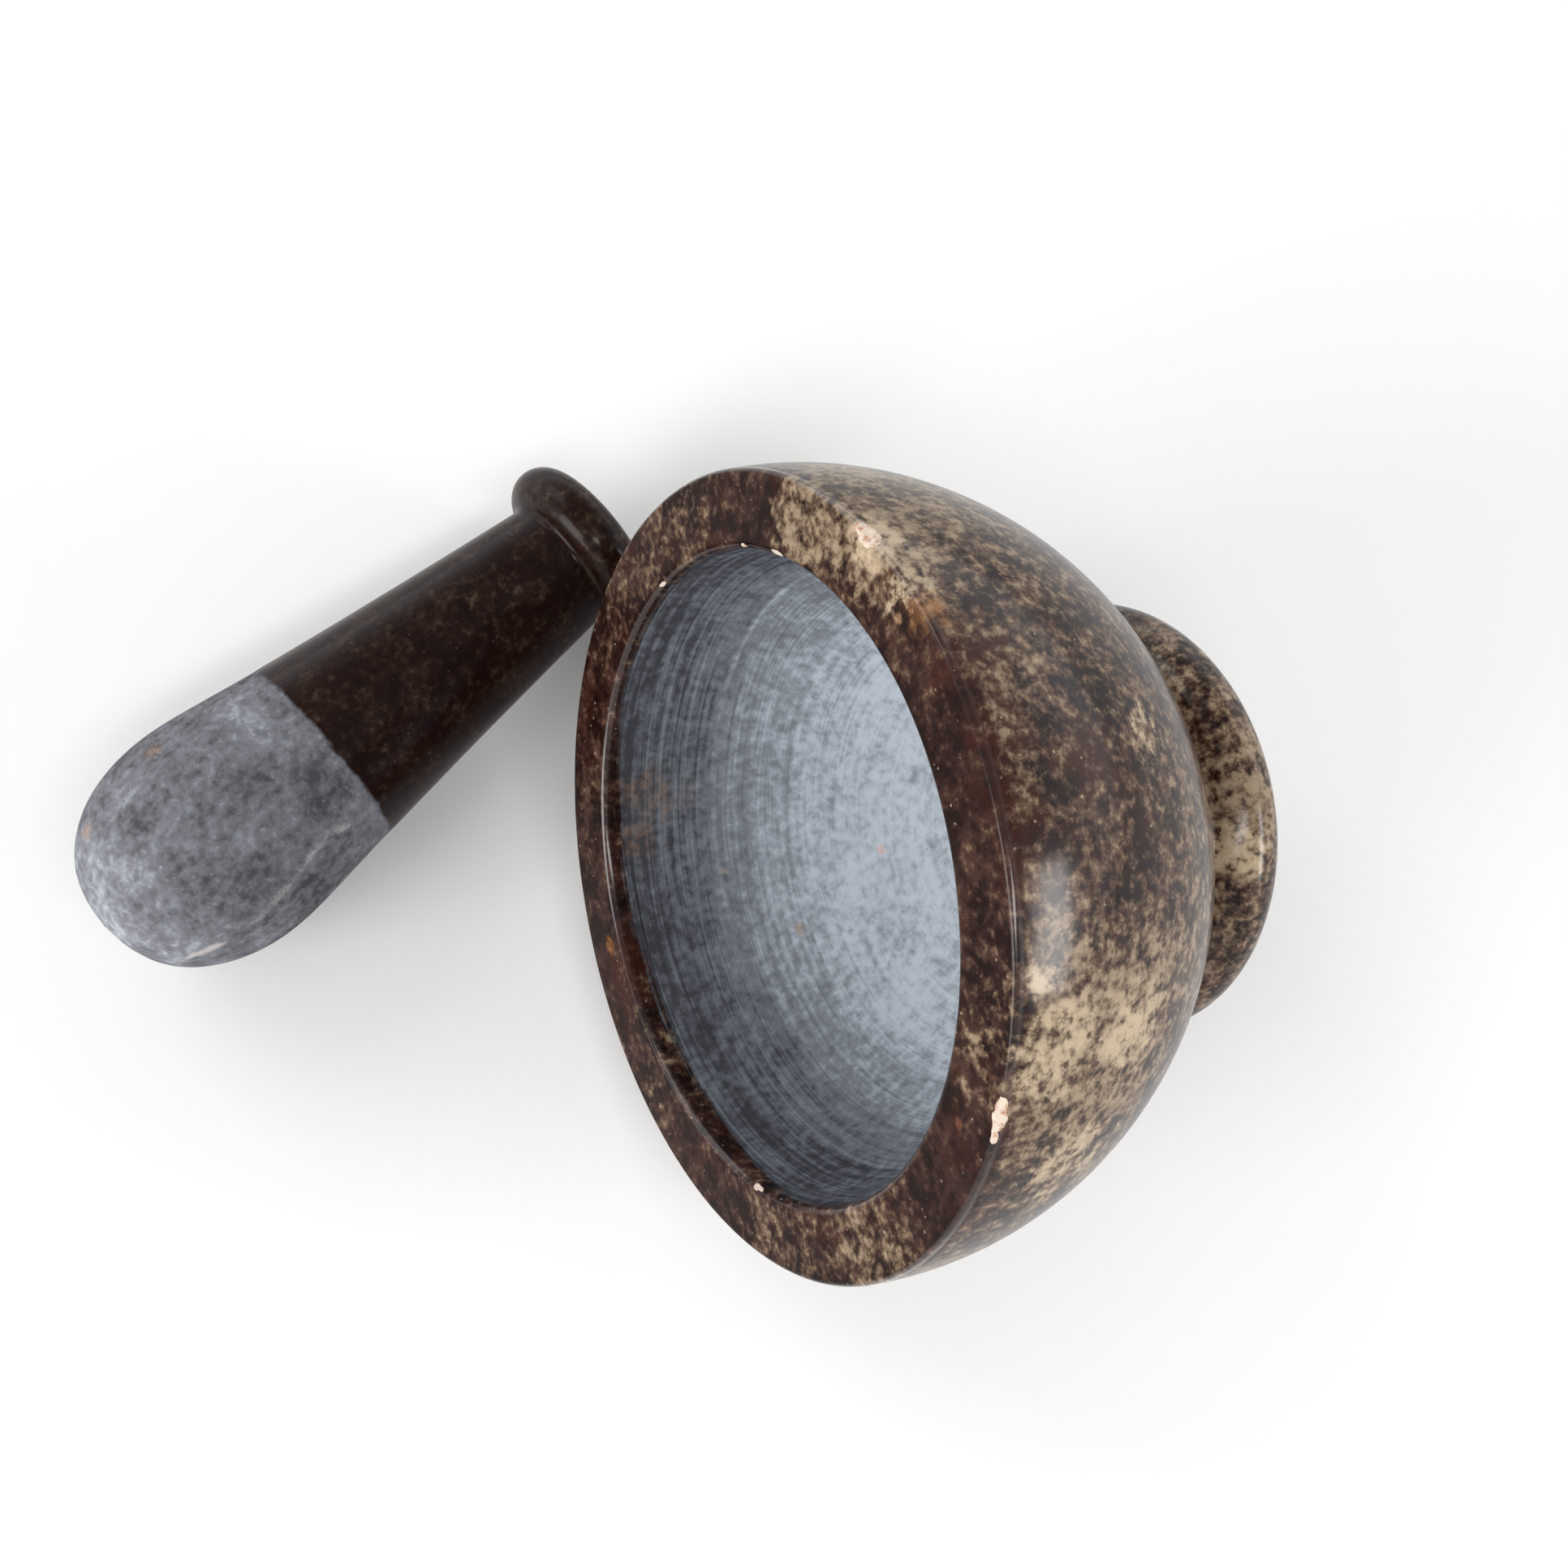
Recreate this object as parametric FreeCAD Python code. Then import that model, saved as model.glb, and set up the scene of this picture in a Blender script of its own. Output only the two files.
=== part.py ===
import FreeCAD, Part
import os
from math import acos, asin, atan2, cos, degrees, hypot, pi, sin, sqrt

os.makedirs("parts", exist_ok=True)

# ---- sizes, in millimetres; +Z is up and the floor is z = 0 ----

# mortar, measured along its own axis from the flat underside of the foot
mortar_height = 63.0
ball_radius = 50.5          # outside of the belly, a ball
rim_above_ball = 7.0        # the rim is cut this far past the ball's centre
bowl_radius = 40.5          # the bowl is half a ball, centred on the rim plane
foot_centre_radius = 24.5   # the foot is a ring with a fully rounded edge
foot_edge_radius = 5.5
waist_radius = 1.5          # small hollow where the foot ring meets the ball
rim_outer_round = 1.0
rim_inner_round = 0.8

# pestle, measured along its own axis from the tip of the grinding head
pestle_length = 95.4
head_outline = [            # (distance from the tip, radius) down to the neck
    (2.4, 9.25),
    (9.1, 15.10),
    (19.5, 17.60),
    (30.9, 16.57),
    (50.6, 14.05),
    (70.3, 11.90),
]
neck_radius = 10.4
button_radius = 14.3
button_edge_radius = 4.05
groove_radius = 1.2         # small hollow between the neck and the button
button_dome = 1.0           # rise of the button's end above a flat face

# how the two pieces lie: the mortar is tipped over on its side
ball_centre_x = 16.7
ball_centre_y = -17.5
pestle_tip_x = ball_centre_x - 93.2
pestle_tip_y = ball_centre_y + 35.0
pestle_turn = 24.3          # degrees from +X towards +Y, tip to button
pestle_slope = -2.7         # degrees, the button end is thinner and lies lower


def vec(radius, height):
    """Point of an outline in the XZ plane, where the turning axis is Z."""
    return FreeCAD.Vector(radius, 0, height)


def line(a, b):
    return Part.LineSegment(vec(*a), vec(*b)).toShape()


def arc(centre, radius, start, end):
    """Arc about a centre from the angle start to the angle end, in radians."""
    points = []
    for k in (0.0, 0.5, 1.0):
        angle = start + k * (end - start)
        points.append(vec(centre[0] + radius * cos(angle), centre[1] + radius * sin(angle)))
    return Part.Arc(*points).toShape()


def touching(centre_a, reach_a, centre_b, reach_b):
    """Point that is reach_a from centre_a and reach_b from centre_b, on the outer side."""
    dx = centre_b[0] - centre_a[0]
    dz = centre_b[1] - centre_a[1]
    apart = hypot(dx, dz)
    along = (reach_a ** 2 - reach_b ** 2 + apart ** 2) / (2 * apart)
    side = sqrt(reach_a ** 2 - along ** 2)
    return (centre_a[0] + (along * dx - side * dz) / apart,
            centre_a[1] + (along * dz + side * dx) / apart)


def angle_to(centre, point):
    return atan2(point[1] - centre[1], point[0] - centre[0])


def turned(edges):
    """Solid made by turning a closed outline once round the Z axis."""
    face = Part.Face(Part.Wire(edges))
    return face.revolve(FreeCAD.Vector(0, 0, 0), FreeCAD.Vector(0, 0, 1), 360)


# ---- mortar, upright ----

ball_centre = (0.0, mortar_height - rim_above_ball)
foot_centre = (foot_centre_radius, foot_edge_radius)
bowl_centre = (0.0, mortar_height)

# small hollow between foot and ball, touching both
waist_centre = touching(ball_centre, ball_radius + waist_radius,
                        foot_centre, foot_edge_radius + waist_radius)

# rounded outer edge of the rim
outer_height = mortar_height - rim_outer_round
outer_reach = ball_radius - rim_outer_round
outer_centre = (sqrt(outer_reach ** 2 - (outer_height - ball_centre[1]) ** 2), outer_height)

# rounded inner edge of the rim
inner_height = mortar_height - rim_inner_round
inner_reach = bowl_radius + rim_inner_round
inner_centre = (sqrt(inner_reach ** 2 - rim_inner_round ** 2), inner_height)

to_waist = angle_to(foot_centre, waist_centre)
to_foot = angle_to(waist_centre, foot_centre)
waist_to_ball = angle_to(waist_centre, ball_centre)
if waist_to_ball < 0:
    waist_to_ball += 2 * pi
if to_foot < 0:
    to_foot += 2 * pi
ball_start = angle_to(ball_centre, waist_centre)
ball_end = angle_to(ball_centre, outer_centre)
bowl_start = angle_to(bowl_centre, inner_centre)

waist_top = (ball_centre[0] + ball_radius * cos(ball_start),
             ball_centre[1] + ball_radius * sin(ball_start))
foot_top = (foot_centre[0] + foot_edge_radius * cos(to_waist),
            foot_centre[1] + foot_edge_radius * sin(to_waist))

mortar = turned([
    line((0, 0), (foot_centre_radius, 0)),
    arc(foot_centre, foot_edge_radius, -pi / 2, to_waist),
    arc(waist_centre, waist_radius, to_foot, waist_to_ball),
    arc(ball_centre, ball_radius, ball_start, ball_end),
    arc(outer_centre, rim_outer_round, ball_end, pi / 2),
    line((outer_centre[0], mortar_height), (inner_centre[0], mortar_height)),
    arc(inner_centre, rim_inner_round, pi / 2, bowl_start + pi),
    arc(bowl_centre, bowl_radius, bowl_start, -pi / 2),
    line((0, mortar_height - bowl_radius), (0, 0)),
])

# ---- pestle, upright with its tip at z = 0 ----

button_centre = (button_radius - button_edge_radius, pestle_length - button_dome - button_edge_radius)
groove_centre = (neck_radius + groove_radius,
                 button_centre[1] - sqrt((button_edge_radius + groove_radius) ** 2
                                         - (neck_radius + groove_radius - button_centre[0]) ** 2))
neck_end = (neck_radius, groove_centre[1])
groove_to_button = angle_to(groove_centre, button_centre)
button_start = groove_to_button - pi
dome_edge = button_centre[0]
dome_radius = (dome_edge ** 2 + button_dome ** 2) / (2 * button_dome)
dome_centre = (0.0, pestle_length - dome_radius)

stick = Part.BSplineCurve()
stick.interpolate(
    Points=[vec(0, 0)] + [vec(r, z) for z, r in head_outline] + [vec(*neck_end)],
    InitialTangent=FreeCAD.Vector(1, 0, 0),
    FinalTangent=FreeCAD.Vector(-0.1, 0, 1),
)

pestle = turned([
    stick.toShape(),
    arc(groove_centre, groove_radius, pi, groove_to_button),
    arc(button_centre, button_edge_radius, button_start, pi / 2),
    arc(dome_centre, dome_radius, acos(dome_edge / dome_radius), pi / 2),
    line((0, pestle_length), (0, 0)),
])

# ---- lay both pieces on the floor ----

# the mortar rolls over until the ball and the foot ring both touch the floor
foot_away = mortar_height - rim_above_ball - foot_edge_radius
reach = hypot(foot_away, foot_centre_radius)
mortar_tip = degrees(asin((ball_radius - foot_edge_radius) / reach) - atan2(foot_centre_radius, foot_away))

mortar.translate(FreeCAD.Vector(0, 0, -ball_centre[1]))
mortar.rotate(FreeCAD.Vector(0, 0, 0), FreeCAD.Vector(0, 1, 0), mortar_tip - 90)
mortar.translate(FreeCAD.Vector(ball_centre_x, ball_centre_y, ball_radius))

pestle.rotate(FreeCAD.Vector(0, 0, 0), FreeCAD.Vector(0, 1, 0), 90 - pestle_slope)
pestle.rotate(FreeCAD.Vector(0, 0, 0), FreeCAD.Vector(0, 0, 1), pestle_turn)
lowest = pestle.optimalBoundingBox(True, False).ZMin
pestle.translate(FreeCAD.Vector(pestle_tip_x, pestle_tip_y, -lowest))

mortar.exportStep("parts/mortar.step")
pestle.exportStep("parts/pestle.step")

for name, shape in (("mortar", mortar), ("pestle", pestle)):
    box = shape.optimalBoundingBox(True, False)
    print(name, shape.isValid(), round(shape.Volume), "mm3",
          [round(v, 2) for v in (box.XMin, box.YMin, box.ZMin, box.XMax, box.YMax, box.ZMax)])
print("mortar tipped", round(mortar_tip, 2), "degrees; gap", round(mortar.distToShape(pestle)[0], 2))
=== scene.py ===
from math import acos, atan2, ceil, cos, hypot, pi, radians, sin, sqrt

import bpy
import numpy as np
from mathutils import Matrix, Quaternion, Vector, noise


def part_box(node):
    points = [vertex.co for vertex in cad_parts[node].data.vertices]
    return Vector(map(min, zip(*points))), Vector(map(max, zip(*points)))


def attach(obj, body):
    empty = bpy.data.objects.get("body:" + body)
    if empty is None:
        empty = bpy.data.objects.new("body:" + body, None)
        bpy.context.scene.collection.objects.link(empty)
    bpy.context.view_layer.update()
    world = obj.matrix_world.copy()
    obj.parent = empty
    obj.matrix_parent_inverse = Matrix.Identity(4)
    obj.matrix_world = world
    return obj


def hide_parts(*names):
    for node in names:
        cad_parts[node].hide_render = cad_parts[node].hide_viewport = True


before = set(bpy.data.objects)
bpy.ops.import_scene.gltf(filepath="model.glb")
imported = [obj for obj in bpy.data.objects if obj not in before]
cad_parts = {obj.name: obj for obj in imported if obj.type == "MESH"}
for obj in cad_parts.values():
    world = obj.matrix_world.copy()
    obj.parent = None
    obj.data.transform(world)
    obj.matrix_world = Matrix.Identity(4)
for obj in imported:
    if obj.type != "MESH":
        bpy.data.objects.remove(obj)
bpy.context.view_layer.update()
print("frame loaded", sorted(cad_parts))

mm = 0.001
up = Vector((0, 0, 1))


class Field:
    # one output of a shader tree, written into sums like a plain number
    def __init__(self, bench, socket):
        self.bench = bench
        self.socket = socket

    def sum(self, operation, first, second):
        return self.bench.sum(operation, first, second)

    def __add__(self, other):
        return self.sum("ADD", self, other)

    def __radd__(self, other):
        return self.sum("ADD", other, self)

    def __sub__(self, other):
        return self.sum("SUBTRACT", self, other)

    def __rsub__(self, other):
        return self.sum("SUBTRACT", other, self)

    def __mul__(self, other):
        return self.sum("MULTIPLY", self, other)

    def __rmul__(self, other):
        return self.sum("MULTIPLY", other, self)

    def __truediv__(self, other):
        return self.sum("DIVIDE", self, other)

    def __rtruediv__(self, other):
        return self.sum("DIVIDE", other, self)

    def larger(self, other):
        return self.sum("MAXIMUM", self, other)

    def swing(self, share):
        # a cloud runs from 0 to 1; this turns it into a little more or less than nothing
        return (self - 0.5) * share


class NodeBench:
    # where the nodes of one material, or of the sky, are laid out
    perRow, columnWidth, rowHeight = 12, 200, 220

    def __init__(self, owner):
        owner.use_nodes = True
        self.owner = owner
        self.tree = owner.node_tree
        self.tree.nodes.clear()
        self.count = 0

    def add(self, kind, settings=None, sockets=None, take=0):
        node = self.tree.nodes.new(kind)
        row, column = divmod(self.count, self.perRow)
        node.location = (self.columnWidth * column, -self.rowHeight * row)
        self.count += 1
        for key, value in (settings or {}).items():
            setattr(node, key, value)
        for key, value in (sockets or {}).items():
            if isinstance(value, Field):
                self.tree.links.new(value.socket, node.inputs[key])
            else:
                node.inputs[key].default_value = value
        return Field(self, node.outputs[take]) if len(node.outputs) else None

    def sum(self, operation, first, second):
        return self.add("ShaderNodeMath", {"operation": operation}, {0: first, 1: second})

    def blendColours(self, amount, first, second):
        # the mix node keeps its factor in socket 0 and its colours in 6, 7 and, coming out, 2
        return self.add("ShaderNodeMix", {"data_type": "RGBA", "clamp_factor": True},
                        {0: amount, 6: first, 7: second}, take=2)

    def step(self, value, low, high):
        # 0 below low, 1 above high, smooth between
        return self.add("ShaderNodeMapRange", {"interpolation_type": "SMOOTHSTEP", "clamp": True},
                        {0: value, 1: low, 2: high, 3: 0.0, 4: 1.0})

    def stretch(self, place, scale):
        return self.add("ShaderNodeVectorMath", {"operation": "MULTIPLY"}, {0: place, 1: scale})

    def shift(self, place, by):
        return self.add("ShaderNodeVectorMath", {"operation": "ADD"}, {0: place, 1: by})

    def cloud(self, place, scale, detail=4.0, rough=0.6, warp=0.0):
        return self.add("ShaderNodeTexNoise", {"noise_dimensions": "3D"},
                        {"Vector": place, "Scale": scale, "Detail": detail, "Roughness": rough, "Distortion": warp})

    def near(self, place, centre):
        # distance from one named spot, in millimetres
        return self.add("ShaderNodeVectorMath", {"operation": "DISTANCE"}, {0: place, 1: centre}, take=1)

    def part(self, place, axis):
        return self.add("ShaderNodeSeparateXYZ", None, {0: place}, take="XYZ".index(axis))

    def wornAmount(self):
        # what the shaping of the piece left on each point
        return self.add("ShaderNodeAttribute", {"attribute_name": "worn"}, take=2)

    def uprightPlace(self, lay):
        # millimetres in a piece's own upright frame, before lay put it on the floor
        place = self.add("ShaderNodeTexCoord", take=3)
        return self.add("ShaderNodeMapping", {"vector_type": "TEXTURE"},
                        {0: place, 1: lay.to_translation(), 2: lay.to_euler(), 3: (mm, mm, mm)})


def shade(red, green, blue):
    # screen colour 0..255 to the linear colour that shaders take
    linear = []
    for part in (red, green, blue):
        part = part / 255
        linear.append(part / 12.92 if part <= 0.04045 else ((part + 0.055) / 1.055) ** 2.4)
    return (*linear, 1.0)


# the stone that both pieces are turned from
stone = {
    "plum": shade(62, 40, 34), "darkPlum": shade(25, 12, 9), "rust": shade(54, 24, 14),
    "olive": shade(104, 84, 66), "beige": shade(148, 130, 107), "cream": shade(182, 163, 135),
    # honedDark and honedLight also give the painted shade near the bowl's rim and the painted light deep in the bowl
    # and on the pestle's tip
    "honedDark": shade(62, 63, 68), "honed": shade(113, 117, 124), "honedLight": shade(174, 181, 189),
    "paleFlatEdge": shade(196, 188, 186),
    "headTint": shade(136, 118, 116),   # brown left in the unpolished head
    "fracture": shade(206, 190, 174), "fractureRust": shade(172, 128, 102),
    # clouds: how many to the millimetre, detail, roughness and warp
    "broadCloud": (0.05, 2.0, 0.5, 0.5), "middleCloud": (0.26, 4.0, 0.6, 0.2),
    "fleckCloud": (0.8, 4.0, 0.6, 0.08), "fineCloud": (2.2, 3.0, 0.55), "rustCloud": (0.13, 4.0, 0.6, 0.8),
    "honedCloud": (0.14, 3.0, 0.55, 0.4), "honedPatch": (0.75, 3.0, 0.55, 0.2),
    # what each adds to the thickness of the pale clouds
    "fleckShare": 1.35, "fleckLess": 0.17, "fineShare": 0.3, "middleShare": 0.75, "broadShare": 0.4,
    "crowdShare": 0.22, "creamShare": 0.17,
    # the thickness at which each colour starts and is whole, and how strong it gets
    "plumIn": (0.4, 0.62), "plumMiddle": 0.6, "rustIn": (0.52, 0.7), "rustStrength": 0.5,
    "oliveIn": (0.42, 0.84), "oliveStrength": 0.9, "beigeIn": (0.62, 0.98), "beigeStrength": 0.8,
    "creamIn": (0.66, 1.1), "creamStrength": 0.75,
    "honedIn": (-0.45, 0.55), "honedLightIn": (0.35, 1.5),
    # tiny bright grains
    "grainCells": 0.6, "grainSize": (0.05, 0.15), "grainWhere": (0.5, 0.6), "grainStrength": 0.6,
    "polishRoughness": 0.3, "honedRoughness": 0.7, "fleckRoughness": 0.14,
    "polishSheen": 0.03,   # specular level of the polish
    "coatRoughness": 0.16, "glassiness": 1.5, "bumpStrength": 0.4,
    "polishRelief": 0.12,   # how far the flecks stand out of the polish
}


def polishedColour(bench, place, crowd, cream, rust):
    # dark plum ground clouded with olive and beige; crowd, cream and rust say where each lies thick
    s = stone
    broad = bench.cloud(place, *s["broadCloud"])
    middle = bench.cloud(place, *s["middleCloud"])
    fleck = bench.cloud(bench.shift(place, (31, 7, 13)), *s["fleckCloud"])
    fine = bench.cloud(bench.shift(place, (5, 43, 3)), *s["fineCloud"])
    rusty = bench.cloud(bench.shift(place, (9, 21, 55)), *s["rustCloud"])

    mixed = middle * s["plumMiddle"] + fleck * (1 - s["plumMiddle"])
    ground = bench.blendColours(bench.step(mixed, *s["plumIn"]), s["darkPlum"], s["plum"])
    rustMask = bench.step(rusty, *s["rustIn"]) * s["rustStrength"]
    ground = bench.blendColours(rustMask.larger(rust), ground, s["rust"])
    thick = (fleck * s["fleckShare"] - s["fleckLess"] + fine.swing(s["fineShare"]) + middle.swing(s["middleShare"])
             + broad.swing(s["broadShare"]) + crowd * s["crowdShare"] + cream * s["creamShare"])
    for tint in ("olive", "beige"):
        ground = bench.blendColours(bench.step(thick, *s[tint + "In"]) * s[tint + "Strength"], ground, s[tint])
    creamMask = bench.step(thick, *s["creamIn"]) * cream
    ground = bench.blendColours(creamMask * s["creamStrength"], ground, s["cream"])

    grain = bench.add("ShaderNodeTexVoronoi", None, {"Vector": place, "Scale": s["grainCells"]})
    bright = (1 - bench.step(grain, *s["grainSize"])) * bench.step(fine, *s["grainWhere"])
    return bench.blendColours(bright * s["grainStrength"], ground, s["cream"]), fleck, fine


def honedColour(bench, place, wear, marks, wide, mottle):
    # the same stone left unpolished: blue grey and cloudy, lined by turning marks, and paler as wear rises; wear
    # also carries painted light and painted shade
    s = stone
    cloud = bench.cloud(bench.shift(place, (3, 17, 29)), *s["honedCloud"])
    patch = bench.cloud(bench.shift(place, (13, 5, 2)), *s["honedPatch"])
    tone = wear + cloud.swing(wide) + patch.swing(mottle) + marks
    ground = bench.blendColours(bench.step(tone, *s["honedIn"]), s["honedDark"], s["honed"])
    return bench.blendColours(bench.step(tone, *s["honedLightIn"]), ground, s["honedLight"]), patch


def stoneSurface(bench, colour, dull, fleck, coat, relief, depth):
    # glossy with coat where it is polished, and plain where dull says that it is not
    s = stone
    roughness = s["polishRoughness"] + fleck.swing(s["fleckRoughness"])
    roughness = roughness + dull * (s["honedRoughness"] - s["polishRoughness"])
    relief = relief + (1 - dull) * fleck * s["polishRelief"]
    bump = bench.add("ShaderNodeBump", None, {"Strength": s["bumpStrength"], "Distance": depth, "Height": relief})
    surface = bench.add("ShaderNodeBsdfPrincipled", None, {
        "Base Color": colour, "Roughness": roughness, "Normal": bump, "IOR": s["glassiness"],
        "Specular IOR Level": s["polishSheen"], "Coat Weight": (1 - dull) * coat,
        "Coat Roughness": s["coatRoughness"], "Coat IOR": s["glassiness"]})
    bench.add("ShaderNodeOutputMaterial", None, {0: surface})
    return bench.owner


def arcPoints(centre, radius, start, end, spacing):
    count = max(2, ceil(abs(end - start) * radius / spacing))
    return [(centre[0] + radius * cos(start + (end - start) * k / count),
             centre[1] + radius * sin(start + (end - start) * k / count)) for k in range(count + 1)]


def linePoints(start, end, spacing):
    count = max(1, ceil(hypot(end[0] - start[0], end[1] - start[1]) / spacing))
    return [(start[0] + (end[0] - start[0]) * k / count, start[1] + (end[1] - start[1]) * k / count)
            for k in range(count + 1)]


def joinRuns(*runs):
    points = []
    for run in runs:
        for point in run:
            if not points or hypot(point[0] - points[-1][0], point[1] - points[-1][1]) > 1e-4:
                points.append(point)
    return points


def touching(centreA, reachA, centreB, reachB):
    dx, dz = centreB[0] - centreA[0], centreB[1] - centreA[1]
    apart = hypot(dx, dz)
    along = (reachA ** 2 - reachB ** 2 + apart ** 2) / (2 * apart)
    side = sqrt(reachA ** 2 - along ** 2)
    return (centreA[0] + (along * dx - side * dz) / apart, centreA[1] + (along * dz + side * dx) / apart)


def angleTo(centre, point):
    return atan2(point[1] - centre[1], point[0] - centre[0])


def turnedMesh(name, outline, angles, change):
    # outline runs from the lower end of the axis to the upper end; change moves each point a little
    rings = outline[1:-1]
    points, worn = [], []
    outward = []
    for k in range(1, len(outline) - 1):
        dr, dz = outline[k + 1][0] - outline[k - 1][0], outline[k + 1][1] - outline[k - 1][1]
        length = hypot(dr, dz) or 1
        outward.append((dz / length, -dr / length))
    for (radius, height), (outR, outZ) in zip(rings, outward):
        for angle in angles:
            spot = Vector((radius * cos(angle), radius * sin(angle), height))
            normal = Vector((outR * cos(angle), outR * sin(angle), outZ))
            moved, amount = change(spot, normal)
            points.append(moved * mm)
            worn.append(amount)
    around = len(angles)
    faces = []
    for ring in range(len(rings) - 1):
        base = ring * around
        for k in range(around):
            following = (k + 1) % around
            faces.append((base + k, base + following, base + around + following, base + around + k))
    first, last = len(points), len(points) + 1
    points += [Vector((0, 0, outline[0][1])) * mm, Vector((0, 0, outline[-1][1])) * mm]
    worn += [0.0, 0.0]
    top = (len(rings) - 1) * around
    for k in range(around):
        following = (k + 1) % around
        faces.append((first, following, k))
        faces.append((last, top + k, top + following))
    mesh = bpy.data.meshes.new(name)
    mesh.from_pydata(points, [], faces)
    mesh.attributes.new("worn", "FLOAT", "POINT").data.foreach_set("value", worn)
    mesh.shade_smooth()
    piece = bpy.data.objects.new(name, mesh)
    bpy.context.scene.collection.objects.link(piece)
    return piece


def layDown(piece, turn, outline, node):
    # the clean outline's box, once turned, is put on the CAD piece's box
    stepsRound, faraway = 180, 1e9
    low, high = Vector((faraway,) * 3), Vector((-faraway,) * 3)
    for radius, height in outline:
        for k in range(stepsRound):
            angle = 2 * pi * k / stepsRound
            spot = turn @ (Vector((radius * cos(angle), radius * sin(angle), height)) * mm)
            low = Vector(map(min, low, spot))
            high = Vector(map(max, high, spot))
    cadLow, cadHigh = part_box(node)
    lay = Matrix.Translation((cadLow + cadHigh) / 2 - (low + high) / 2) @ turn
    piece.data.transform(lay)
    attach(piece, node)
    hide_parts(node)
    return lay


def bumpy(spot, size):
    return noise.noise(spot / size)


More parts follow.
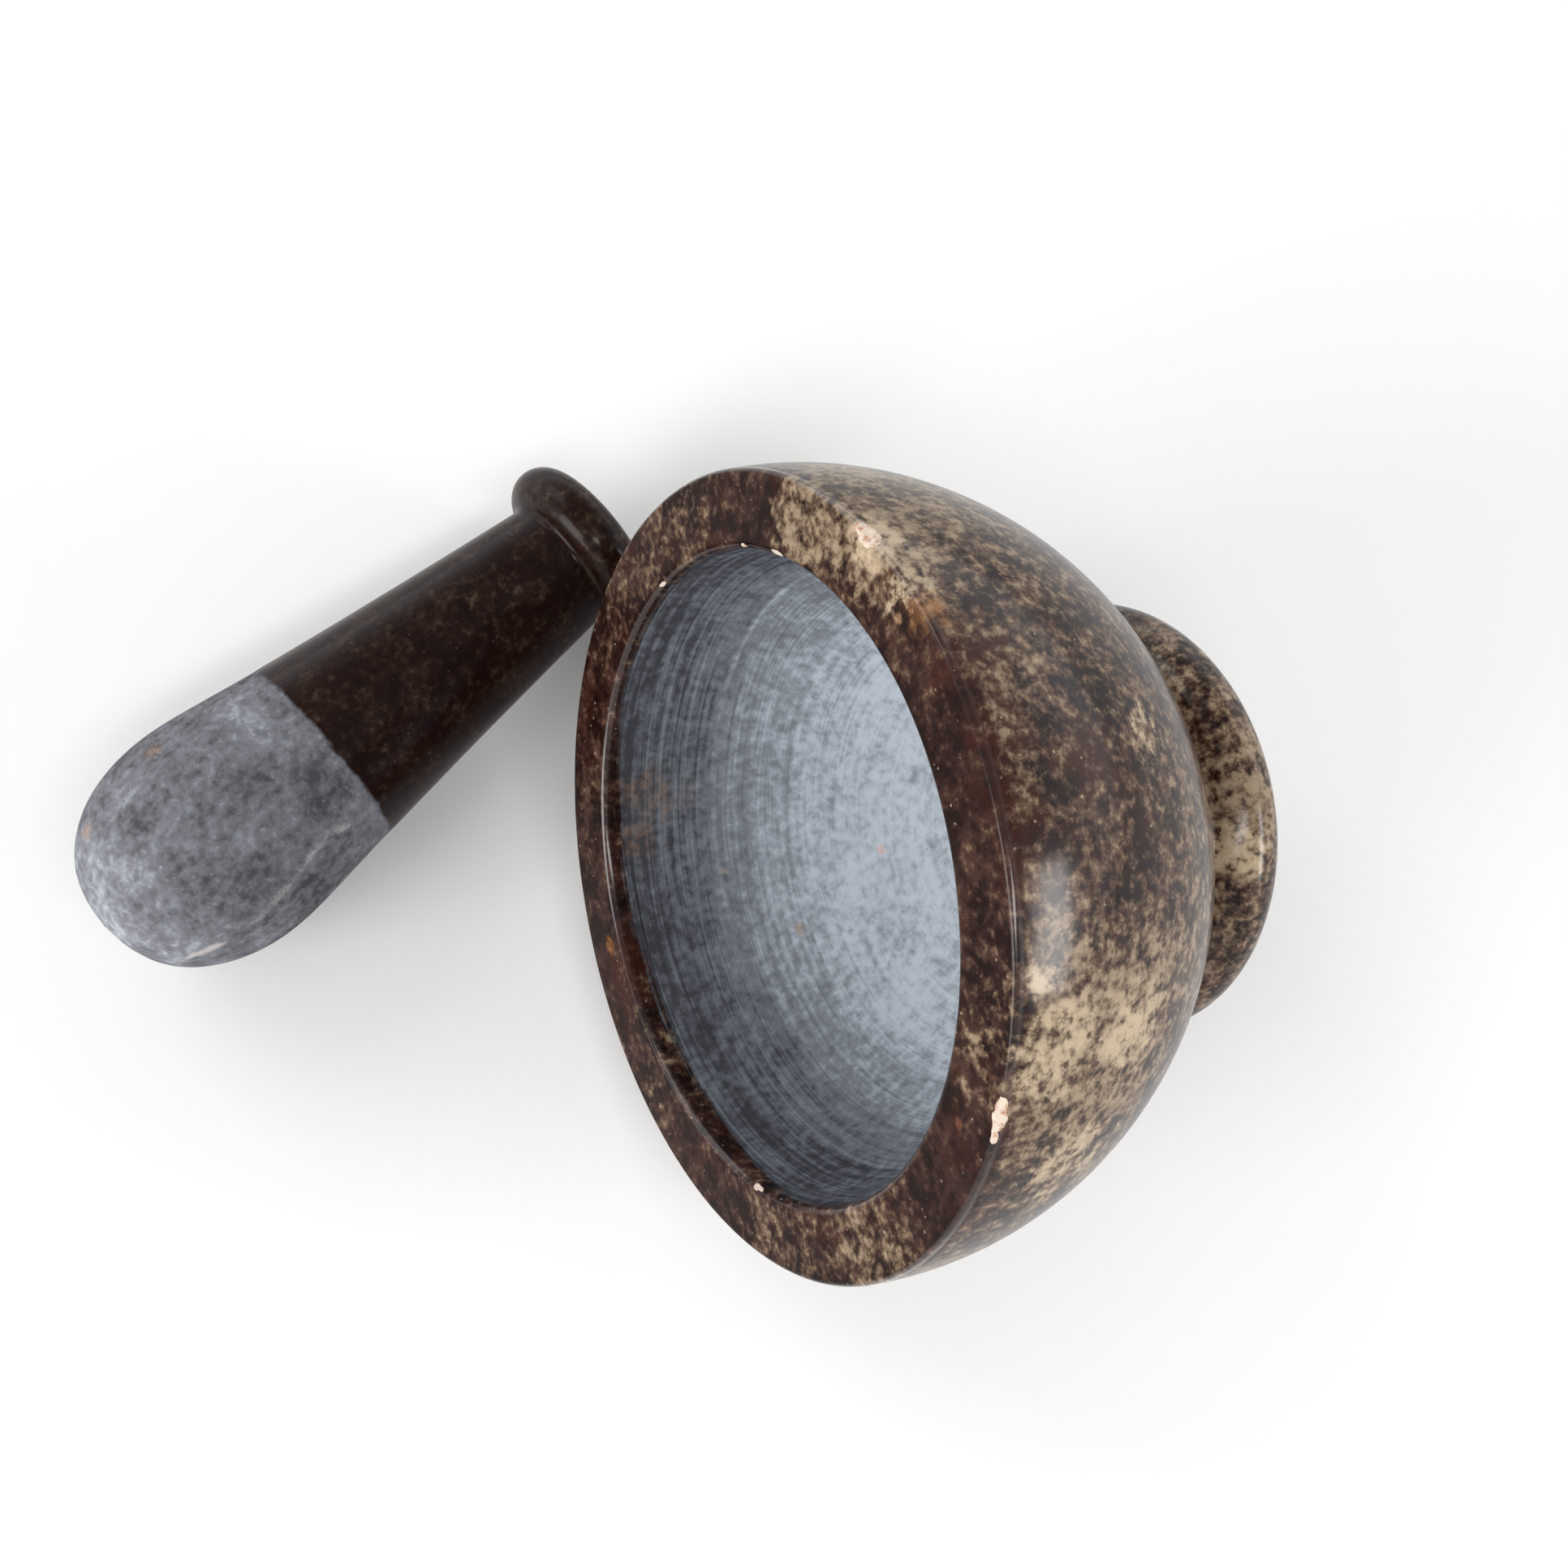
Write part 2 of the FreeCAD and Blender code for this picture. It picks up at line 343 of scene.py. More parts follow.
mortar = {
    "height": 63.0, "ball": 50.5, "rimAboveBall": 7.0, "bowl": 40.5,
    "footCentre": 24.5, "footEdge": 5.5, "waist": 1.5, "outerRound": 0.8, "innerRound": 1.1,
    "tipped": 27.41,   # degrees, how far the mouth looks up from level
    "stepsRound": 230,
    # turning marks in the bowl: depth, how many to the millimetre, how fast they change round the bowl, start
    "grooves": [(0.035, 1.15, 0.012, 0), (0.0175, 2.6, 0.02, 40)],
    "bowlWander": 0.05, "bowlWanderSize": 12,   # how far the bowl wanders from a true ball, and over what length
    "wobble": 0.07, "wobbleSize": 15,           # the same for the hand polish of the outside
    "polishGrain": 0.012, "polishGrainSize": 1.6,
    # breaks on the rim: degrees round it, distance from the axis, length and width
    "chips": [
        {"angle": 24.1, "radius": 50.1, "length": 1.9, "width": 1.25},
        {"angle": -53.4, "radius": 50.1, "length": 2.4, "width": 0.95},
        {"angle": -56.9, "radius": 50.2, "length": 1.0, "width": 0.6},
        {"angle": 54.7, "radius": 40.6, "length": 1.0, "width": 0.5},
        {"angle": 44.5, "radius": 40.6, "length": 1.3, "width": 0.6},
        {"angle": 85.2, "radius": 40.6, "length": 1.1, "width": 0.5},
        {"angle": -127.3, "radius": 40.6, "length": 1.2, "width": 0.6},
    ],
    "chipRagged": 0.28, "chipRaggedSize": 0.9, "chipFrayed": 0.12, "chipFrayedSize": 0.35,
    "chipDepth": 0.62, "chipUneven": 0.3, "chipUnevenSize": 0.5,   # depth in widths of the break
    # where the clouds of the stone lie thick: place in the upright mortar, and reach
    # the first cream patch, on the foot, is partly the stone's cream and partly a painted highlight
    "creamPatches": [((24.0, -16.0, 8.5), 4.5), ((35.5, -36.0, 56.5), 7.0), ((34.0, -36.0, 46.0), 7.0),
                     ((40.5, -30.0, 60.0), 3.0), ((46.8, -7.2, 38.0), 4.5), ((45.8, 20.0, 61.5), 5.0),
                     ((48.4, 12.0, 62.0), 4.0), ((20.0, -45.0, 50.0), 8.0), ((24.0, 9.0, 8.0), 6.0),
                     ((-20.0, 42.0, 45.0), 10.0), ((-44.0, 10.0, 38.0), 9.0)],
    "rustPatches": [((49.6, 2.0, 59.0), 6.0), ((50.0, -6.0, 60.0), 5.0), ((48.4, -14.0, 60.5), 4.5),
                    ((45.5, -21.0, 60.5), 4.0), ((47.0, 15.0, 62.5), 4.0), ((30.0, -41.0, 61.0), 4.0),
                    ((46.0, -10.0, 50.0), 7.0), ((-30.0, -38.0, 52.0), 9.0), ((-41.0, 4.0, 62.5), 7.0)],
    # the last crowd patch lightens the foot: partly the stone's clouds, partly a painted highlight
    "crowdPatches": [((46.0, 20.0, 61.0), 12.0), ((38.0, 32.0, 50.0), 16.0), ((36.0, 28.0, 63.0), 9.0),
                     ((-5.0, -47.0, 56.0), 12.0), ((33.0, -36.0, 50.0), 18.0),
                     ((-45.0, -5.0, 45.0), 20.0), ((22.0, -10.0, 6.0), 14.0)],
    "plainPatches": [((2.0, 49.0, 62.0), 26.0), ((-12.0, -45.0, 62.0), 26.0)],   # neither bare nor crowded
    "patchCloud": 0.35, "patchEdge": 0.6,   # what breaks up the edges of patches and stains, and how soft they are
    "ragged": {"cream": 2.0, "rust": 1.4, "plain": 1.2, "crowd": 1.6, "ochre": 1.8, "bowl": 2.4},
    "insideFrom": (0.15, 0.45), "bellyFrom": (0.3, 2.5),   # millimetres out of the bowl, and below the rim face
    "bellyCrowd": 0.28, "rimBare": 0.55,   # the belly is more clouded than the rim
    "rustStrength": 0.8, "ochreStrength": 0.65,
    "ochreGrain": 0.6, "ochreGrainIn": (0.4, 0.62),      # how far the flecks break up the stains on the polish
    "streakShare": 0.8, "streakIn": (0.42, 0.6),         # the same for the turning marks and the stains in the bowl
    # stains: place, reach and colour, and in the bowl also strength
    "ochreSpots": [((48.5, 8.5, 61.5), 3.2, (148, 104, 66)), ((-43.0, 9.0, 63.0), 1.6, (150, 98, 40)),
                   ((22.5, -38.5, 62.6), 1.0, (160, 104, 78)), ((45.4, 10.0, 63.0), 0.9, (176, 136, 104))],
    "bowlSpots": [((-30.4, 26.0, 56.4), 4.5, (128, 98, 76), 0.55), ((-33.6, 20.5, 57.5), 3.4, (128, 98, 76), 0.5),
                  ((-29.0, 24.0, 51.0), 3.0, (128, 98, 76), 0.4), ((-32.1, 2.7, 38.5), 1.1, (170, 140, 98), 0.8),
                  ((-20.0, 8.1, 28.7), 0.9, (196, 160, 150), 0.8), ((-34.0, 14.0, 46.0), 0.8, (140, 130, 118), 0.7)],
    "deepWearAndLight": 1.15, "shadeTowardsRim": 1.4,     # how pale the bowl is where deepest, from wear and painted light, and how much of that painted shade takes away near the rim
    "darkens": (0.6, 1.6),                 # where up the wall the painted shade sets in and it darkens, in radians from the deepest point
    "bowlCloud": 0.9, "bowlMottle": 1.5,   # how strong the wide and the small clouds in the bowl are
    # drawn turning marks: millimetres apart, start, detail, roughness
    "marks": (0.85, 3.0, 4.0, 0.7), "hairMarks": (0.3, 40.0, 2.0, 0.6), "marksFlow": 0.022,
    "marksDepth": 2.2, "hairDepth": 1.1, "marksInDeep": 0.4,
    "lowSide": (18.0, 36.0),   # on this side, away from +X, the polish of the rim runs further into the bowl
    "polishInBowl": (1.0, 2.2),
    # millimetres by which marks and clouds move the end of the polish, and what the low side adds
    "polishStreak": 1.6, "polishWander": 1.6, "lowStreak": 5.0, "lowShift": 1.8,
    "bareFrom": (0.3, 0.6), "bareRustIn": (0.44, 0.7),   # how broken a point is where it is bare, and rust on that
    "edgeStarts": (0.02, 0.2), "edgeEnds": (0.7, 1.4),   # the rounded edge, in millimetres below the rim face
    "patchRelief": 0.4, "marksRelief": 0.5, "bareRelief": 1.5,
    "coatRim": 0.06, "coatBelly": 0.34, "coatEdge": 0.8,
    "bumpDepth": 0.00012,
}


def mortarOutline():
    m = mortar
    ballCentre = (0.0, m["height"] - m["rimAboveBall"])
    footCentre = (m["footCentre"], m["footEdge"])
    bowlCentre = (0.0, m["height"])
    reachFoot, reachBall = m["footEdge"] + m["waist"], m["ball"] + m["waist"]
    waistCentre = touching(ballCentre, reachBall, footCentre, reachFoot)
    outerHeight = m["height"] - m["outerRound"]
    outerReach = m["ball"] - m["outerRound"]
    outerCentre = (sqrt(outerReach ** 2 - (outerHeight - ballCentre[1]) ** 2), outerHeight)
    innerHeight = m["height"] - m["innerRound"]
    innerReach = m["bowl"] + m["innerRound"]
    innerCentre = (sqrt(innerReach ** 2 - m["innerRound"] ** 2), innerHeight)
    toWaist = angleTo(footCentre, waistCentre)
    fromFoot = angleTo(waistCentre, footCentre) % (2 * pi)
    toBall = angleTo(waistCentre, ballCentre) % (2 * pi)
    ballStart = angleTo(ballCentre, waistCentre)
    ballEnd = angleTo(ballCentre, outerCentre)
    bowlStart = angleTo(bowlCentre, innerCentre)
    nearEdge = 0.07   # radians of the ball below the rim that get closer rings
    # the last number of each run is how far apart its rings stand, in millimetres
    return joinRuns(
        linePoints((0, 0), (m["footCentre"], 0), 2.0),
        arcPoints(footCentre, m["footEdge"], -pi / 2, toWaist, 0.6),
        arcPoints(waistCentre, m["waist"], fromFoot, toBall, 0.3),
        arcPoints(ballCentre, m["ball"], ballStart, ballEnd - nearEdge, 1.1),
        arcPoints(ballCentre, m["ball"], ballEnd - nearEdge, ballEnd, 0.22),
        arcPoints(outerCentre, m["outerRound"], ballEnd, pi / 2, 0.12),
        linePoints((outerCentre[0], m["height"]), (outerCentre[0] - 2, m["height"]), 0.25),
        linePoints((outerCentre[0] - 2, m["height"]), (innerCentre[0] + 1, m["height"]), 0.8),
        linePoints((innerCentre[0] + 1, m["height"]), (innerCentre[0], m["height"]), 0.25),
        arcPoints(innerCentre, m["innerRound"], pi / 2, bowlStart + pi, 0.14),
        arcPoints(bowlCentre, m["bowl"], bowlStart, -pi / 2, 0.5),
    )


def ringAngles(count, places):
    # even steps round the piece, with finer ones beside each named place, in degrees
    fineStep, fineCount, closest = 0.42, 11, 0.2
    angles = {round(k * 360 / count, 3) for k in range(count)}
    for place in places:
        for k in range(-fineCount, fineCount + 1):
            angles.add(round((place + k * fineStep) % 360, 3))
    kept = []
    for angle in sorted(angles):
        if not kept or angle - kept[-1] > closest:
            kept.append(angle)
    return [radians(angle) for angle in kept]


def breakAway(spot):
    # scoops out the breaks along the rim's edges, and says how broken each point is
    m = mortar
    farthest = 6    # millimetres, past which a break changes nothing
    border = 1.15   # how far the bare stone reaches, in sizes of the break
    amount = 0.0
    for chip in m["chips"]:
        angle = radians(chip["angle"])
        outward = Vector((cos(angle), sin(angle), 0))
        along = Vector((-sin(angle), cos(angle), 0))
        side = 1 if chip["radius"] > (m["bowl"] + m["ball"]) / 2 else -1   # the outer or the inner edge
        centre = outward * chip["radius"] + up * m["height"]
        offset = spot - centre
        if offset.length > farthest:
            continue
        ragged = 1 + m["chipRagged"] * bumpy(spot + Vector((chip["angle"], 0, 0)), m["chipRaggedSize"])
        ragged += m["chipFrayed"] * bumpy(spot, m["chipFrayedSize"])
        lengthwise = offset.dot(along) / (chip["length"] * ragged)
        outwards = offset.dot(outward) * side / (chip["width"] * ragged)
        upwards = offset.dot(up) / (chip["width"] * ragged)
        reach = sqrt(lengthwise ** 2 + outwards ** 2 + upwards ** 2)
        if reach < border:
            amount = max(amount, min(1.0, (border - reach) / (border - 1)))
        if reach < 1:
            inward = (outward * -side - up).normalized()
            depth = m["chipDepth"] + m["chipUneven"] * bumpy(spot, m["chipUnevenSize"])
            spot = spot + inward * (1 - reach) * chip["width"] * depth
    return spot, amount


def shapeMortar(spot, normal):
    m = mortar
    slack, lip, flatFade = 0.05, 1.4, 3.0   # millimetres
    flatShare = 0.35                        # how much of the wobble the rim face keeps
    fromBowl = (spot - up * m["height"]).length
    inBowl = fromBowl < m["bowl"] + slack and spot.z < m["height"] - lip
    moved = spot.copy()
    if inBowl:
        # turning marks depend on the way down the wall, and are a little uneven round the bowl
        wall = m["bowl"] * acos(max(-1, min(1, (m["height"] - spot.z) / m["bowl"])))
        for depth, perMm, drift, start in m["grooves"]:
            moved += normal * depth * noise.noise(Vector((spot.x * drift, spot.y * drift, wall * perMm + start)))
        moved += normal * m["bowlWander"] * bumpy(spot, m["bowlWanderSize"])
    else:
        fromRim = min(1.0, abs(spot.z - m["height"]) / flatFade)
        wobble = m["wobble"] * (flatShare + (1 - flatShare) * fromRim)
        moved -= normal * wobble * (0.5 + 0.5 * bumpy(spot, m["wobbleSize"]))
        moved -= normal * m["polishGrain"] * (1 + bumpy(spot, m["polishGrainSize"]))
    return breakAway(moved)


def mortarStone(lay):
    m = mortar
    bench = NodeBench(bpy.data.materials.new("mortarStone"))
    place = bench.uprightPlace(lay)
    loose = bench.cloud(place, m["patchCloud"])
    ragged = m["ragged"]

    def patch(centre, radius, uneven):
        return bench.step(1 - bench.near(place, centre) / radius + loose.swing(uneven), 0.0, m["patchEdge"])

    def patches(kind):
        spots = m[kind + "Patches"]
        largest = patch(*spots[0], ragged[kind])
        for spot in spots[1:]:
            largest = largest.larger(patch(*spot, ragged[kind]))
        return largest

    cream = patches("cream")
    rust = patches("rust")
    fall = m["height"] - bench.part(place, "Z")
    outOfBowl = bench.near(place, (0, 0, m["height"])) - m["bowl"]
    inside = 1 - bench.step(outOfBowl, *m["insideFrom"])
    belly = bench.step(fall, *m["bellyFrom"]) * (1 - inside)
    crowd = belly * (m["bellyCrowd"] + m["rimBare"]) - m["rimBare"]
    crowd = crowd * (1 - patches("plain"))
    crowd = crowd + (1 - crowd) * patches("crowd")
    polished, fleck, fine = polishedColour(bench, place, crowd, cream, rust * m["rustStrength"])
    grainy = 1 - m["ochreGrain"] + m["ochreGrain"] * bench.step(fleck + fine.swing(0.5), *m["ochreGrainIn"])
    for centre, radius, tint in m["ochreSpots"]:
        stained = patch(centre, radius, ragged["ochre"]) * grainy * m["ochreStrength"]
        polished = bench.blendColours(stained, polished, shade(*tint))

    # the way down the bowl's wall drives the turning marks
    level = bench.stretch(place, (1, 1, 0))
    fromAxis = bench.add("ShaderNodeVectorMath", {"operation": "LENGTH"}, {0: level}, take=1)
    wall = m["bowl"] * bench.sum("ARCTAN2", fromAxis, fall)
    aroundBowl = bench.stretch(place, (m["marksFlow"], m["marksFlow"], 0))

    def turningMarks(spacing, start, detail, rough):
        rings = bench.add("ShaderNodeCombineXYZ", None, {2: wall / spacing + start})
        return bench.cloud(bench.shift(aroundBowl, rings), 1.0, detail, rough)

    marks = turningMarks(*m["marks"])
    hair = turningMarks(*m["hairMarks"])
    nearRim = bench.step(wall / m["bowl"], *m["darkens"])
    lined = marks.swing(m["marksDepth"]) + hair.swing(m["hairDepth"])
    lined = lined * (m["marksInDeep"] + (1 - m["marksInDeep"]) * nearRim)
    # paler deep down from wear and painted light, darkened by painted shade up towards the rim
    wear = m["deepWearAndLight"] - nearRim * m["shadeTowardsRim"]
    honed, honedPatch = honedColour(bench, place, wear, lined, m["bowlCloud"], m["bowlMottle"])
    streaky = 1 - m["streakShare"] + m["streakShare"] * bench.step(honedPatch + marks.swing(0.6), *m["streakIn"])
    for centre, radius, tint, strength in m["bowlSpots"]:
        stained = patch(centre, radius, ragged["bowl"]) * streaky * strength
        honed = bench.blendColours(stained, honed, shade(*tint))

    # the polish of the rim ends unevenly a little way into the bowl
    lowSide = bench.step(0 - bench.part(place, "X"), *m["lowSide"])
    edge = fall + marks.swing(m["polishStreak"] + m["lowStreak"] * lowSide)
    edge = edge + loose.swing(m["polishWander"]) - lowSide * m["lowShift"]
    honedMask = inside * bench.step(edge, *m["polishInBowl"])
    colour = bench.blendColours(honedMask, polished, honed)

    # breaks are bare, pale and rough
    bareMask = bench.step(bench.wornAmount() + fine.swing(0.5), *m["bareFrom"])
    rusted = bench.step(fleck + fine.swing(0.6), *m["bareRustIn"])
    bare = bench.blendColours(rusted, stone["fracture"], stone["fractureRust"])
    colour = bench.blendColours(bareMask, colour, bare)

    rimEdge = bench.step(fall, *m["edgeStarts"]) * (1 - bench.step(fall, *m["edgeEnds"]))
    dull = honedMask.larger(bareMask)
    coat = m["coatRim"] + belly * m["coatBelly"] + rimEdge * m["coatEdge"]
    relief = dull * (honedPatch * m["patchRelief"] + lined * m["marksRelief"]) + bareMask * fine * m["bareRelief"]
    return stoneSurface(bench, colour, dull, fleck, coat, relief, m["bumpDepth"])


mortarTurn = Matrix.Rotation(radians(mortar["tipped"] - 90), 4, "Y")
mortarLine = mortarOutline()
mortarAngles = ringAngles(mortar["stepsRound"], [chip["angle"] for chip in mortar["chips"]])
mortarPiece = turnedMesh("mortar_stone", mortarLine, mortarAngles, shapeMortar)
mortarLay = layDown(mortarPiece, mortarTurn, mortarLine, "mortar")
mortarPiece.data.materials.append(mortarStone(mortarLay))
print("mortar turned", len(mortarPiece.data.polygons), "faces")


pestle = {
    "length": 95.4, "neck": 10.4, "button": 14.3, "buttonEdge": 4.05, "groove": 1.2, "dome": 1.0,
    # half widths from the tip to the neck: radius, distance from the tip
    "head": [(0.0, 0.0), (9.25, 2.4), (15.1, 9.1), (17.6, 19.5), (16.57, 30.9), (14.05, 50.6), (11.9, 70.3)],
    "turn": 24.3, "slope": -2.7,   # degrees: from +X towards +Y, and down towards the button
    "stepsRound": 240,
    "bareHead": 39.4, "headEnds": (-0.4, 0.4),   # how far the unpolished head reaches, and the polish's fade
    "headRelief": 0.8,
    "handleBare": 0.25, "handleDarkAndShade": 0.75,   # fewer clouds than on the mortar, and a darker ground, partly the stone's own and partly painted shade
    "headWear": 0.2, "tipHighlight": 0.4, "tipFade": (1.0, 17.0),   # how pale the head is, and how much paler a painted highlight makes its tip
    "headCloud": 2.1, "headMottle": 1.9,      # how strong the wide and the small clouds on the head are
    "headGrains": 0.45, "headGrainsIn": (0.58, 0.8), "headBrown": 0.12, "grainsBrown": 0.4,
    # stains on the head: place, reach, colour, strength
    "headSpots": [((-15.2, 9.2, 20.9), 1.9, (176, 146, 122), 0.4), ((-11.3, 7.2, 7.2), 1.8, (186, 154, 130), 0.5),
                  ((10.0, 12.5, 14.0), 2.0, (176, 140, 112), 0.5), ((6.0, -15.5, 26.0), 1.6, (190, 170, 150), 0.5)],
    # the worn flat: degrees round the head at flatMiddle, degrees per millimetre, half width
    "flatAt": -92.0, "flatMiddle": 15.0, "flatLean": -0.75, "flatHalf": 15.0,
    "flatStart": 2.5, "flatRunIn": 4, "flatStop": 37.4, "flatRunOut": 6,   # millimetres from the tip
    "spotRagged": 1.8, "spotEdge": 0.9,
    "flatEdge": 5.5, "flatEdgeIn": (0.15, 0.85), "flatEdgeStrength": 0.75,   # degrees, and how pale the edge is
    "wear": 0.05, "headUneven": 0.11, "headPits": 0.03,     # how far the surface wanders, in millimetres
    "coat": 0.2, "bumpDepth": 0.00015,
}


def smoothRun(points, startTangent, endTangent, spacing):
    # one cubic curve through the points, with given directions at both ends
    knots = [0.0]
    for a, b in zip(points, points[1:]):
        knots.append(knots[-1] + hypot(b[0] - a[0], b[1] - a[1]))
    count = len(points)
    matrix = np.zeros((count, count))
    right = np.zeros((count, 2))
    matrix[0, 0] = matrix[-1, -1] = 1
    right[0] = startTangent
    right[-1] = endTangent
    data = np.array(points)
    for k in range(1, count - 1):
        before, after = knots[k] - knots[k - 1], knots[k + 1] - knots[k]
        matrix[k, k - 1:k + 2] = (after, 2 * (before + after), before)
        right[k] = 3 * (after * (data[k] - data[k - 1]) / before + before * (data[k + 1] - data[k]) / after)
    slopes = np.linalg.solve(matrix, right)
    run = []
    for k in range(count - 1):
        step = knots[k + 1] - knots[k]
        pieces = max(2, ceil(step / spacing))
        for part in range(pieces + (k == count - 2)):
            t = part / pieces
            place = ((2 * t ** 3 - 3 * t ** 2 + 1) * data[k] + (t ** 3 - 2 * t ** 2 + t) * step * slopes[k]
                     + (3 * t ** 2 - 2 * t ** 3) * data[k + 1] + (t ** 3 - t ** 2) * step * slopes[k + 1])
            run.append((float(place[0]), float(place[1])))
    return run


def pestleOutline():
    p = pestle
    button = (p["button"] - p["buttonEdge"], p["length"] - p["dome"] - p["buttonEdge"])
    grooveR = p["neck"] + p["groove"]
    groove = (grooveR, button[1] - sqrt((p["buttonEdge"] + p["groove"]) ** 2 - (grooveR - button[0]) ** 2))
    toButton = angleTo(groove, button)
    domeRadius = (button[0] ** 2 + p["dome"] ** 2) / (2 * p["dome"])
    domeCentre = (0.0, p["length"] - domeRadius)
    return joinRuns(
        smoothRun(p["head"] + [(p["neck"], groove[1])], (1, 0), (-0.1, 1), 0.6),
        arcPoints(groove, p["groove"], pi, toButton, 0.2),
        arcPoints(button, p["buttonEdge"], toButton - pi, pi / 2, 0.35),
        arcPoints(domeCentre, domeRadius, acos(button[0] / domeRadius), pi / 2, 0.8),
    )


def shapePestle(spot, normal):
    p = pestle
    head = max(0.0, min(1.0, (p["bareHead"] + 1 - spot.z) / 2))   # fades over 2 mm where the polish starts
    moved = spot.copy()
    # grinding has worn a long flat down one side of the head, with a pale edge
    flat = radians(p["flatAt"] + p["flatLean"] * (spot.z - p["flatMiddle"]))
    runIn = (spot.z - p["flatStart"]) / p["flatRunIn"]
    runOut = (p["flatStop"] - spot.z) / p["flatRunOut"]
    ends = max(0.0, min(1.0, runIn, runOut))
    half = radians(p["flatHalf"]) * ends
    away = (atan2(spot.y, spot.x) - flat + pi) % (2 * pi) - pi
    if abs(away) < half:
        outward = Vector((cos(flat), sin(flat), 0))
        radius = hypot(spot.x, spot.y)
        moved -= outward * radius * (cos(away) - cos(half))
    edge = max(0.0, 1 - abs(away + half) / radians(p["flatEdge"] + 2.5 * bumpy(spot, 3.0)))
    worn = edge * ends * max(0.0, min(1.0, 0.75 + 1.2 * bumpy(spot, 4.5)))
    # the head is worn a little out of round, the handle follows the hand polish
    moved -= normal * (p["wear"] + p["headUneven"] * head) * (0.5 + 0.5 * bumpy(spot, 9))
    moved -= normal * p["headPits"] * head * (0.5 + 0.5 * bumpy(spot, 2.2))
    moved -= normal * p["wear"] * head
    return moved, worn


def pestleStone(lay):
    p = pestle
    bench = NodeBench(bpy.data.materials.new("pestleStone"))
    here = bench.uprightPlace(lay)
    place = bench.shift(here, (140, 60, 20))   # other clouds than the mortar's
    loose = bench.cloud(place, 0.3)
    polished, fleck, fine = polishedColour(bench, place, -p["handleBare"], 0.0, 0.0)
    # darker ground on the handle: partly the stone's own colour, partly painted shade
    polished = bench.blendColours(p["handleDarkAndShade"], polished, stone["darkPlum"])

    height = bench.part(here, "Z")
    # painted highlight: the tip of the head is painted paler
    tip = 1 - bench.step(height, *p["tipFade"])
    grains = bench.step(fleck + fine.swing(0.8), *p["headGrainsIn"]) * p["headGrains"]
    wear = p["headWear"] + tip * p["tipHighlight"] + grains
    honed, honedPatch = honedColour(bench, place, wear, 0.0, p["headCloud"], p["headMottle"])
    honed = bench.blendColours(p["headBrown"] + grains * p["grainsBrown"], honed, stone["headTint"])
    for centre, radius, tint, strength in p["headSpots"]:
        spot = bench.step(1 - bench.near(here, centre) / radius + fine.swing(p["spotRagged"]), 0.0, p["spotEdge"])
        honed = bench.blendColours(spot * strength, honed, shade(*tint))
    # a pale line painted along the edge of the flat
    paleFlatEdge = bench.step(bench.wornAmount() + fine.swing(0.7), *p["flatEdgeIn"]) * p["flatEdgeStrength"]
    honed = bench.blendColours(paleFlatEdge, honed, stone["paleFlatEdge"])

    ragged = height + loose.swing(1.6) + fine.swing(0.4)
    headMask = 1 - bench.step(ragged - p["bareHead"], *p["headEnds"])
    colour = bench.blendColours(headMask, polished, honed)
    relief = headMask * honedPatch * p["headRelief"]
    return stoneSurface(bench, colour, headMask, fleck, p["coat"], relief, p["bumpDepth"])


pestleTurn = Matrix.Rotation(radians(pestle["turn"]), 4, "Z")
pestleTurn = pestleTurn @ Matrix.Rotation(radians(90 - pestle["slope"]), 4, "Y")
pestleLine = pestleOutline()
pestlePiece = turnedMesh("pestle_stone", pestleLine, ringAngles(pestle["stepsRound"], []), shapePestle)
pestleLay = layDown(pestlePiece, pestleTurn, pestleLine, "pestle")
pestlePiece.data.materials.append(pestleStone(pestleLay))
print("pestle turned", len(pestlePiece.data.polygons), "faces")


studio = {
    "floor": shade(236, 235, 233), "floorTint": shade(226, 226, 228), "floorRoughness": 0.75,
    "floorHalf": 3.0,   # metres
    "sky": (0.97, 0.985, 1.0, 1.0),
    "skyLow": 2.25, "skyHigh": 0.38, "skyFade": 0.8,   # strength at the horizon and overhead, where it ends
    "skyShade": 0.6, "skyShadeFrom": (-0.9, 0.2),      # the low sky is dimmer towards -Y, as by someone's shadow
    "lamps": [   # name, place in metres, width, height, watts, roll in degrees
        ("windowLeft", (-2.2, -0.5, 0.95), 1.3, 1.3, 35.0, 0),
        ("softboxBack", (-0.9, 1.5, 1.5), 1.2, 1.2, 9.0, 0),
        ("windowFront", (0.74, -0.576, 0.314), 0.46, 0.16, 3.2, 35),
        ("lampAbove", (0.05, -0.54, 0.84), 0.7, 0.14, 3.4, 0),
    ],
    "lampsAimAt": (0.0, 0.0, 0.04),
    "camera": {"place": (-0.0047, -0.0799, 0.2642), "right": (0.94337, -0.33155, -0.01173),
               "down": (-0.31541, -0.88536, -0.34154), "lens": 41.0, "sensor": 36.0, "nearest": 0.01},
}


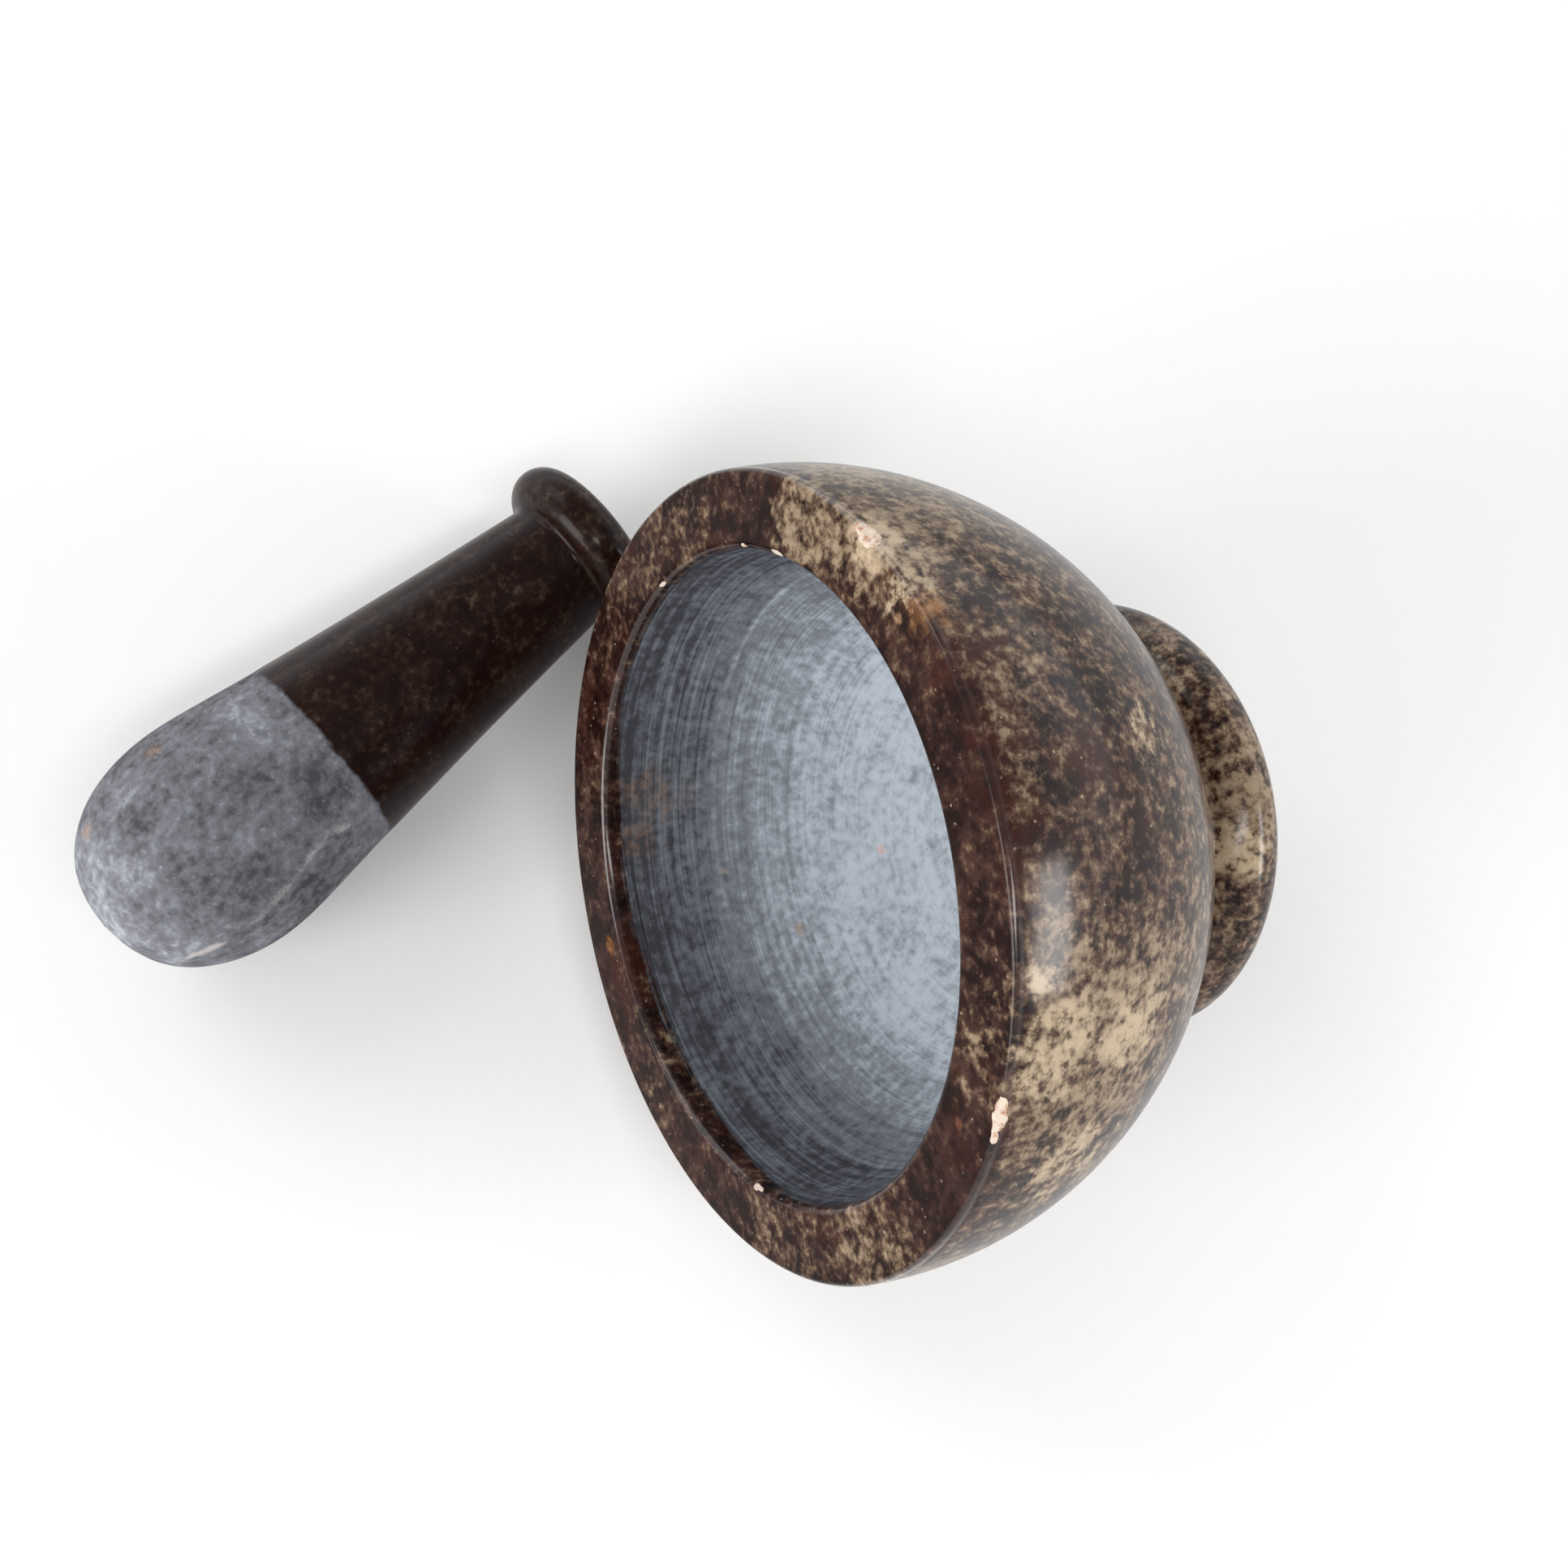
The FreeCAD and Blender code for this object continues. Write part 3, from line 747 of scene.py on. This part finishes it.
def layFloor():
    s = studio
    bench = NodeBench(bpy.data.materials.new("paleFloor"))
    place = bench.uprightPlace(Matrix.Identity(4))
    tint = bench.cloud(place, 0.004, 2.0, 0.5)
    colour = bench.blendColours(tint * 0.2, s["floor"], s["floorTint"])
    tooth = bench.cloud(place, 1.1, 3.0)
    bump = bench.add("ShaderNodeBump", None, {"Strength": 0.08, "Distance": 0.0001, "Height": tooth})
    surface = bench.add("ShaderNodeBsdfPrincipled", None,
                        {"Base Color": colour, "Roughness": s["floorRoughness"], "Normal": bump})
    bench.add("ShaderNodeOutputMaterial", None, {0: surface})
    mesh = bpy.data.meshes.new("floor")
    half = s["floorHalf"]
    mesh.from_pydata([(-half, -half, 0), (half, -half, 0), (half, half, 0), (-half, half, 0)], [], [(0, 1, 2, 3)])
    mesh.materials.append(bench.owner)
    floor = bpy.data.objects.new("floor", mesh)
    bpy.context.scene.collection.objects.link(floor)


def hangLamps():
    target = Vector(studio["lampsAimAt"])
    for name, place, width, height, watts, roll in studio["lamps"]:
        lamp = bpy.data.lights.new(name, "AREA")
        lamp.shape = "RECTANGLE"
        lamp.size, lamp.size_y = width, height
        lamp.energy = watts
        holder = bpy.data.objects.new(name, lamp)
        holder.location = place
        aim = (target - Vector(place)).to_track_quat("-Z", "Y") @ Quaternion((0, 0, 1), radians(roll))
        holder.rotation_euler = aim.to_euler()
        bpy.context.scene.collection.objects.link(holder)


def spreadSky():
    # bright low down, like white walls, and dim overhead
    s = studio
    world = bpy.data.worlds.new("softSky")
    bench = NodeBench(world)
    direction = bench.add("ShaderNodeTexCoord", take=0)
    low = 1 - bench.step(bench.part(direction, "Z"), 0.0, s["skyFade"])
    shaded = 1 - bench.step(bench.part(direction, "Y"), *s["skyShadeFrom"])
    strength = s["skyHigh"] + low * (1 - shaded * s["skyShade"]) * (s["skyLow"] - s["skyHigh"])
    sky = bench.add("ShaderNodeBackground", None, {0: s["sky"], 1: strength})
    bench.add("ShaderNodeOutputWorld", None, {0: sky})
    bpy.context.scene.world = world


def placeCamera():
    c = studio["camera"]
    right, down = Vector(c["right"]), Vector(c["down"])
    forward = right.cross(down)
    camera = bpy.data.cameras.new("camera")
    camera.lens = c["lens"]
    camera.sensor_width = c["sensor"]
    camera.clip_start = c["nearest"]
    holder = bpy.data.objects.new("camera", camera)
    turn = Matrix((right, -down, -forward)).transposed().to_4x4()
    holder.matrix_world = Matrix.Translation(Vector(c["place"])) @ turn
    bpy.context.scene.collection.objects.link(holder)
    bpy.context.scene.camera = holder
    bpy.context.scene.view_settings.view_transform = "Standard"


layFloor()
hangLamps()
spreadSky()
placeCamera()
print("studio set")
